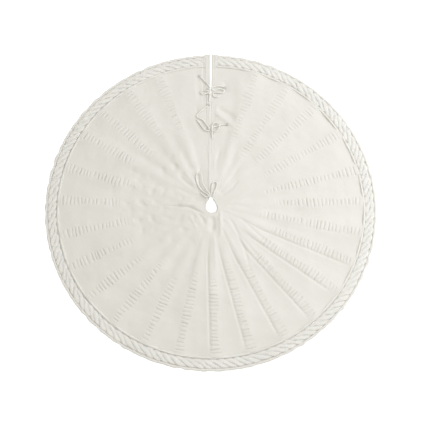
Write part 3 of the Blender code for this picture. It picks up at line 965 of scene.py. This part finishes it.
def twisted_cord(points, sides=12):
    """Loops, texture places and middle line of a cord of two strands twisted together, with rounded ends."""
    line, done = respaced(points, CORD_STEP)
    angles = circle(sides)
    turn = angles - (math.tau * done / CORD_TWIST)[:, None]
    lobes = CORD_WAIST + (1 - CORD_WAIST) * np.abs(np.cos(turn)) ** 0.7
    from_end = np.clip(np.minimum(done, done[-1] - done) / CORD_END, 0, 1)
    ends = np.sqrt(np.clip(1 - (1 - from_end) ** 2, 0.02, 1))
    reach = CORD_RADIUS * lobes * ends[:, None]
    loops = tube(line, *line_frames(line), np.cos(angles) * reach, np.sin(angles) * reach)
    uv = stacked(angles * CORD_RADIUS, done[:, None])
    return loops, uv, line


def under_tie(x, y):
    """Height of the cloth under a tie."""
    radius = math.hypot(x, y)
    if radius < PANEL_INNER:
        return max(CASING_HEIGHT + CASING_RADIUS, float(plain_top(PANEL_INNER)) + PLACKET_RISE)
    return float(plain_top(radius)) + PLACKET_RISE


def on_cloth(x, y, layers):
    return (x, y, under_tie(x, y) + GAP + CORD_RADIUS + layers * (CORD_DIAMETER + GAP))


def add_cord(name, places, body):
    loops, uv, line = twisted_cord(smooth_route(places, ROUTE_STEPS))
    piece = add_piece(f"{name}_cord", name, body, "tie_cord", loops, swept_faces(*loops.shape[:2]), uv)


def arch(place, side, half_width, height, steps):
    """A half oval that stands on the cloth, and the angle of each of its points."""
    arc = np.linspace(0, math.pi, steps)
    return place + side * (np.cos(arc) * half_width)[:, None] + UP * (np.sin(arc) * height)[:, None], arc


def thread_tube(line, radius, sides=8):
    """Loops and texture places of a round thread along an arch."""
    tangent = unit(np.gradient(line, axis=0))
    side = unit(np.broadcast_to(np.cross(line[-1] - line[0], UP), line.shape))
    side = unit(side - tangent * (side * tangent).sum(-1, keepdims=True))
    up = np.cross(tangent, side)
    angles = circle(sides)
    uv = stacked(angles * radius, distances_along(line)[:, None])
    return tube(line, side, up, radius * np.cos(angles), radius * np.sin(angles)), uv


def add_tack(name, start, towards, body):
    """Threads sewn over the outer end of a slit tie: a row of small stitches side by side."""
    away = unit(np.array(start) - np.array(towards))
    away[2] = 0
    away = unit(away)
    side = np.array([-away[1], away[0], 0])
    parts = []
    for stitch in range(TACK_STITCHES):
        middle = np.array(start) + away * (TACK_START + stitch * TACK_SPACING)
        middle[2] = start[2] - CORD_RADIUS
        line, arc = arch(middle, side, TACK_HALF_WIDTH, TACK_HEIGHT, 11)
        line += side * TACK_LEAN * math.sin(stitch * 2.3) + UP * TACK_LIFT
        line += away * (TACK_SWAY * np.cos(arc * 2 + stitch))[:, None]
        parts.append(thread_tube(line, THREAD_RADIUS))
    return add_piece(f"{name}_threads", name, body, "stitching", *joined(parts))


def add_knot(name, place, body):
    """The wraps of a half bow's knot, around the strands that pass at the slit's edge."""
    parts = []
    for wrap, turned in enumerate(KNOT_TURNS):
        side = np.array([math.cos(turned), math.sin(turned), 0])
        foot = np.array([place[0], place[1] + KNOT_SPACING * (wrap - 0.5), place[2] - CORD_RADIUS])
        line, _ = arch(foot, side, KNOT_HALF_WIDTH, KNOT_HEIGHT, 13)
        parts.append(thread_tube(line, KNOT_RADIUS, 10))
    return add_piece(name, None, body, "tie_cord", *joined(parts))


def add_slit_ties():
    for bow, knot_y, routes in (
        ("outer", OUTER_BOW_Y, (OUTER_LEFT, OUTER_RIGHT)),
        ("middle", MIDDLE_BOW_Y, (MIDDLE_LEFT, MIDDLE_RIGHT)),
    ):
        for side, sign, route in zip(("left", "right"), (-1, 1), routes):
            places = [on_cloth(x, knot_y + y, layers) for x, y, layers in route]
            body = f"{side}_flap"
            tack = add_tack(f"tie_tack_{bow}_{side}", places[0], places[1], body)
            knot_place = on_cloth(sign * KNOT_FROM_SLIT, knot_y + KNOT_FROM_BOW, 0)
            knot = add_knot(f"tie_{bow}_{side}_knot", knot_place, body)
            add_cord(f"tie_{bow}_{side}", places, body)


def add_neck_ties():
    for side, sign, route in (("left", 1, NECK_LEFT), ("right", -1, NECK_RIGHT)):
        mouth = math.radians(90 + sign * CASING_MOUTH)
        outwards = np.array([sign * math.sin(mouth), -sign * math.cos(mouth), 0])
        ring = np.array([CASING_RING * math.cos(mouth), CASING_RING * math.sin(mouth), CASING_HEIGHT])
        leaving = ring + outwards * 2 * GAP
        clear = leaving + outwards * CORD_RADIUS
        lifting = clear + outwards * CORD_RADIUS + UP * CORD_RADIUS
        places = [tuple(map(float, point)) for point in (leaving, clear, lifting)]
        places += [on_cloth(x, y, layers) for x, y, layers in route]
        add_cord(f"tie_neck_{side}", places, f"{side}_flap")


# ---- knit panels


def panel_rows():
    """Radii of a panel's rows: close together where the rungs are."""
    inner = np.arange(PANEL_INNER - UNDER_CASING, FINE_ROWS_FROM, COARSE_ROW)
    outer = np.arange(FINE_ROWS_FROM, PANEL_OUTER, FINE_ROW)
    return np.concatenate([inner, outer, [PANEL_OUTER, PANEL_OUTER + UNDER_WELT]])


def panel_columns():
    """Places across a panel: 0 to 1 beside its first rib, 1 to 2 in between and 2 to 3 beside its last."""
    beside_rib = np.linspace(0, 1, 9)
    between = np.linspace(0, 1, 10)
    return np.concatenate([beside_rib[:-1], 1 + between[:-1], 2 + beside_rib])


def across_panel(places, width):
    """Distances across a panel of this width for the places of panel_columns."""
    rib = np.minimum(RIB_COLUMNS_WIDTH, width * RIB_COLUMNS_SHARE)
    first = np.clip(places, 0, 1) * rib
    middle = np.clip(places - 1, 0, 1) * (width - 2 * rib)
    last = np.clip(places - 2, 0, 1) * rib
    return first + middle + last


def panel_body(number):
    if number < FLAP_PANELS:
        return "left_flap"
    return "main" if number < PANELS - FLAP_PANELS else "right_flap"


def add_panels():
    radius, place = np.meshgrid(panel_rows(), panel_columns(), indexing="ij")
    beside = np.degrees(np.arcsin((placket_edge(radius, True) - PANEL_UNDER_PLACKET) / radius))
    for number in range(PANELS):
        start = beside if number == 0 else RIBS[number - 1] + 0 * radius
        end = 360 - beside if number == PANELS - 1 else RIBS[number] + 0 * radius
        width = np.radians(end - start) * radius
        turn = start + np.degrees(across_panel(place, width) / radius)
        top = cloth_point(radius, turn)
        normal = cloth_normals(radius, turn)
        bottom = top - normal * CLOTH_THICKNESS
        loops = there_and_back(top, bottom)
        uv = stacked(np.radians(turn - (start + end) / 2) * radius, radius)
        name = f"knit_panel_{number + 1:02d}"
        quads = swept_faces(*loops.shape[:2])[:, ::-1]
        piece = add_piece(
            f"cloth_{name}", name, panel_body(number), "panel_knit", loops, quads, there_and_back(uv, uv),
            there_and_back(normal, -normal),
        )


# ---- border, hem, neck and plackets


def add_ring(node, ending, body, slot, turns, section):
    """A piece that runs round the skirt; section(turn) gives the outline's radii and heights at each turn."""
    radius, height = section(turns[:, None])
    loops = polar(radius, turns[:, None], height)
    steps = np.linalg.norm(np.diff(loops, axis=1, append=loops[:, :1]), axis=2)
    around = np.concatenate([np.zeros((len(loops), 1)), np.cumsum(steps[:, :-1], 1)], 1)
    uv = stacked(around, np.radians(turns)[:, None] * radius.mean())
    add_piece(f"{node}_{ending}", node, body, slot, loops, swept_faces(*loops.shape[:2]), uv)


def round_outline(middle, half_width, low, high, sides, squareness):
    """Radius and height round a soft section: an oval that is squarer the higher the number."""
    angles = math.tau * (np.arange(sides) + 0.5) / sides
    across = np.sign(np.cos(angles)) * np.abs(np.cos(angles)) ** (2 / squareness)
    upward = np.sign(np.sin(angles)) * np.abs(np.sin(angles)) ** (2 / squareness)
    return middle + half_width * across, (low + high) / 2 + (high - low) / 2 * upward


def body_turns(body, radius, spacing):
    """Evenly spaced turns over a body's share of the border, reaching under the placket."""
    start, end = BODIES[body]
    beside = math.degrees(math.asin((placket_edge(radius, True) - BORDER_UNDER_PLACKET) / radius))
    if body == "left_flap":
        start += beside
    if body == "right_flap":
        end -= beside
    count = int(round(math.radians(end - start) * radius / spacing))
    return np.linspace(start, end, count + 1)


def band_section(turn):
    """The band, with the cable's relief showing on its underside."""
    high = BAND_THICKNESS + BAND_PADDING
    middle, half_width = (WELT_INNER + CABLE_OUTER) / 2, (CABLE_OUTER - WELT_INNER) / 2
    radius, height = round_outline(middle, half_width, 0.0, high, 28, 4.5)
    along = np.radians(turn) * WELT_OUTER
    phase = along / BAND_RELIEF_PITCH + (radius - WELT_INNER) / BAND_RELIEF_SLANT
    relief = BAND_RELIEF * (0.5 + 0.5 * np.cos(math.tau * phase)) * (height < high / 2)
    relief *= ease(*BAND_RELIEF_INSIDE, radius - WELT_INNER)
    relief *= ease(0.0, BAND_RELIEF_OUTSIDE, CABLE_OUTER - radius)
    return radius, height + relief


def welt_section(turn):
    middle = (WELT_INNER + WELT_OUTER) / 2 + WELT_WANDER * wander(turn, 0.0)
    high = BAND_THICKNESS + WELT_RISE + LUMP_HEIGHT * lumps(turn, 3.0)
    radius, height = round_outline(0.0, WELT_HALF_WIDTH, 0.0, 1.0, 12, 2.0)
    return middle + radius * (1 + 0.08 * lumps(turn, 7.0)), blend(WELT_FOOT, high, height)


def hem_section(turn):
    inner = HEM_INNER - HEM_OVERLAP
    outer = RADIUS - HEM_SET_BACK + HEM_WANDER * lumps(turn, 1.0)
    high = HEM_TOP + LUMP_HEIGHT * lumps(turn, 5.0)
    ridge = HEM_RIDGE * np.cos(np.radians(turn) * RADIUS * math.tau / HEM_RIDGE_PITCH)
    radius, height = round_outline(0.5, 0.5, 0.0, 1.0, 18, 2.3)
    outwards = blend(inner, outer, radius) + ridge * (radius > HEM_RIDGES_FROM)
    return outwards, high * height + ridge * (height > HEM_RIDGES_FROM)


def add_cable(body):
    """Strands of knit that cross over each other again and again."""
    turns = body_turns(body, CABLE_INNER, CABLE_ROW)
    middle_radius = (CABLE_INNER + CABLE_OUTER) / 2
    along = np.radians(turns) * middle_radius
    angles = circle(12)
    parts = []
    for strand in range(CABLE_STRANDS):
        phase = math.tau * (along / CABLE_PITCH + strand / CABLE_STRANDS)
        phase += CABLE_DRIFT * wander(turns, 4.0) + CABLE_JITTER * lumps(turns, 13.0)
        radius = middle_radius + CABLE_SWAY * np.sin(phase)
        height = BAND_THICKNESS + CABLE_HALF_HEIGHT + CABLE_LIFT + CABLE_LIFT * np.cos(phase)
        line = polar(radius, turns, height)
        stitch = math.tau * along / CABLE_STITCH + CABLE_STITCH_OFFSET * strand
        stitch += CABLE_STITCH_JITTER * lumps(turns, 17.0 + strand)
        swell = 1 + CABLE_SWELL * lumps(turns, 9.0 + strand) + CABLE_STITCH_SWELL * np.cos(stitch)
        across = np.cos(angles) * CABLE_HALF_WIDTH * swell[:, None]
        upward = np.sin(angles) * CABLE_HALF_HEIGHT * swell[:, None]
        uv = stacked(angles * STRAND_UV_RADIUS, along[:, None])
        parts.append((tube(line, *line_frames(line), across, upward), uv))
    node = f"border_cable_{body}"
    add_piece(f"{node}_strands", node, body, "border_knit", *joined(parts))


def add_border():
    for body in BODIES:
        for node, ending, radius, spacing, section in (
            ("border_band", "cloth", WELT_INNER, 0.0035, band_section),
            ("border_welt", "roll", WELT_INNER, 0.0028, welt_section),
            ("hem_roll", "cloth", HEM_INNER, 0.0021, hem_section),
        ):
            turns = body_turns(body, radius, spacing)
            add_ring(f"{node}_{body}", ending, body, "border_knit", turns, section)
        add_cable(body)


def casing_section(turn):
    radius, height = round_outline(0.0, 1.0, -1.0, 1.0, 20, 2.0)
    angle = np.radians(turn)
    gathers = GATHER_SIZE * np.sin(angle * GATHERS_ROUND + 1.5 * np.sin(angle * 4))
    size = CASING_RADIUS + gathers + CASING_LUMPS * lumps(turn, 2.0)
    return CASING_RING + size * radius, CASING_HEIGHT + size * height


def drawcord_section(turn):
    low, high = CASING_HEIGHT - CORD_RADIUS, CASING_HEIGHT + CORD_RADIUS
    return round_outline(CASING_RING, CORD_RADIUS, low, high, 10, 2.0)


def add_neck():
    """The rolled casing of the neck hole, gathered on its drawcord."""
    for body, (start, end) in BODIES.items():
        start = max(start, CASING_MOUTH)
        end = min(end, 360 - CASING_MOUTH)
        turns = np.linspace(start, end, int((end - start) / CASING_ROW_TURN) + 2)
        add_ring(f"neck_casing_{body}", "roll", body, "band_knit", turns, casing_section)
        add_ring(f"neck_drawcord_{body}", "cord", body, "tie_cord", turns, drawcord_section)


def placket_height(radius, share, side, sign):
    """Height of a placket's upper face, at a share of its width from the inner edge."""
    width = placket_edge(radius, True) - placket_edge(radius, False)
    stitched = SEAM_SPREAD[0] + SEAM_SPREAD[1] * np.sin(math.tau * radius / SEAM_STITCH)
    ridges = PLACKET_RIDGE_HEIGHT * np.cos(math.tau * share * PLACKET_RIDGES)
    ridges *= ease(*PLACKET_RIDGE_WIDTHS, width)
    for seam in SEAMS[side]:
        ridges = ridges - SEAM_DEPTH * stitched * bell(share * width - seam, SEAM_HALF_WIDTH)
    wide = ease(*PLACKET_WIDE, radius)
    rise = blend(PLACKET_RISE_AT_NECK, PLACKET_RISE, wide)
    rise += BORDER_RISE * ease(*BORDER_RISE_RADII, radius)
    curl = blend(*PLACKET_CURL, wide) * np.abs(2 * share - 1) ** 4
    wave = PLACKET_WAVE * small_waves(radius * 1.3, share * 0.02 + sign)
    return plain_top(radius) + rise + ridges - curl + wave * wide


def add_plackets():
    radii = np.linspace(PANEL_INNER, RADIUS - PLACKET_SET_BACK, PLACKET_GRID[0])
    radius, share = np.meshgrid(radii, np.linspace(0, 1, PLACKET_GRID[1]), indexing="ij")
    inner = placket_edge(radius, False)
    outer = placket_edge(radius, True)
    uv = stacked(share * (outer - inner), radius)
    uv = there_and_back(uv, uv)
    for side, sign in (("left", 1), ("right", -1)):
        edge_wave = PLACKET_EDGE_WAVE * small_waves(radius, sign * 2.0) * share
        distance = np.maximum(blend(inner, outer, share) + edge_wave, LEAST_FROM_SLIT)
        turn = np.degrees(np.arcsin(distance / radius))
        turn = turn if sign > 0 else 360 - turn
        top = polar(radius, turn, placket_height(radius, share, side, sign))
        loops = there_and_back(top, top - UP * PLACKET_THICKNESS)
        quads = swept_faces(*loops.shape[:2])
        if sign > 0:
            quads = quads[:, ::-1]
        node, body = f"placket_{side}", f"{side}_flap"
        add_piece(f"{node}_band", node, body, "band_knit", loops, quads, uv, sharp_angle=PLACKET_SHARP_ANGLE)


add_camera()
add_stage()
add_slit_ties()
add_neck_ties()
add_panels()
add_border()
add_neck()
add_plackets()
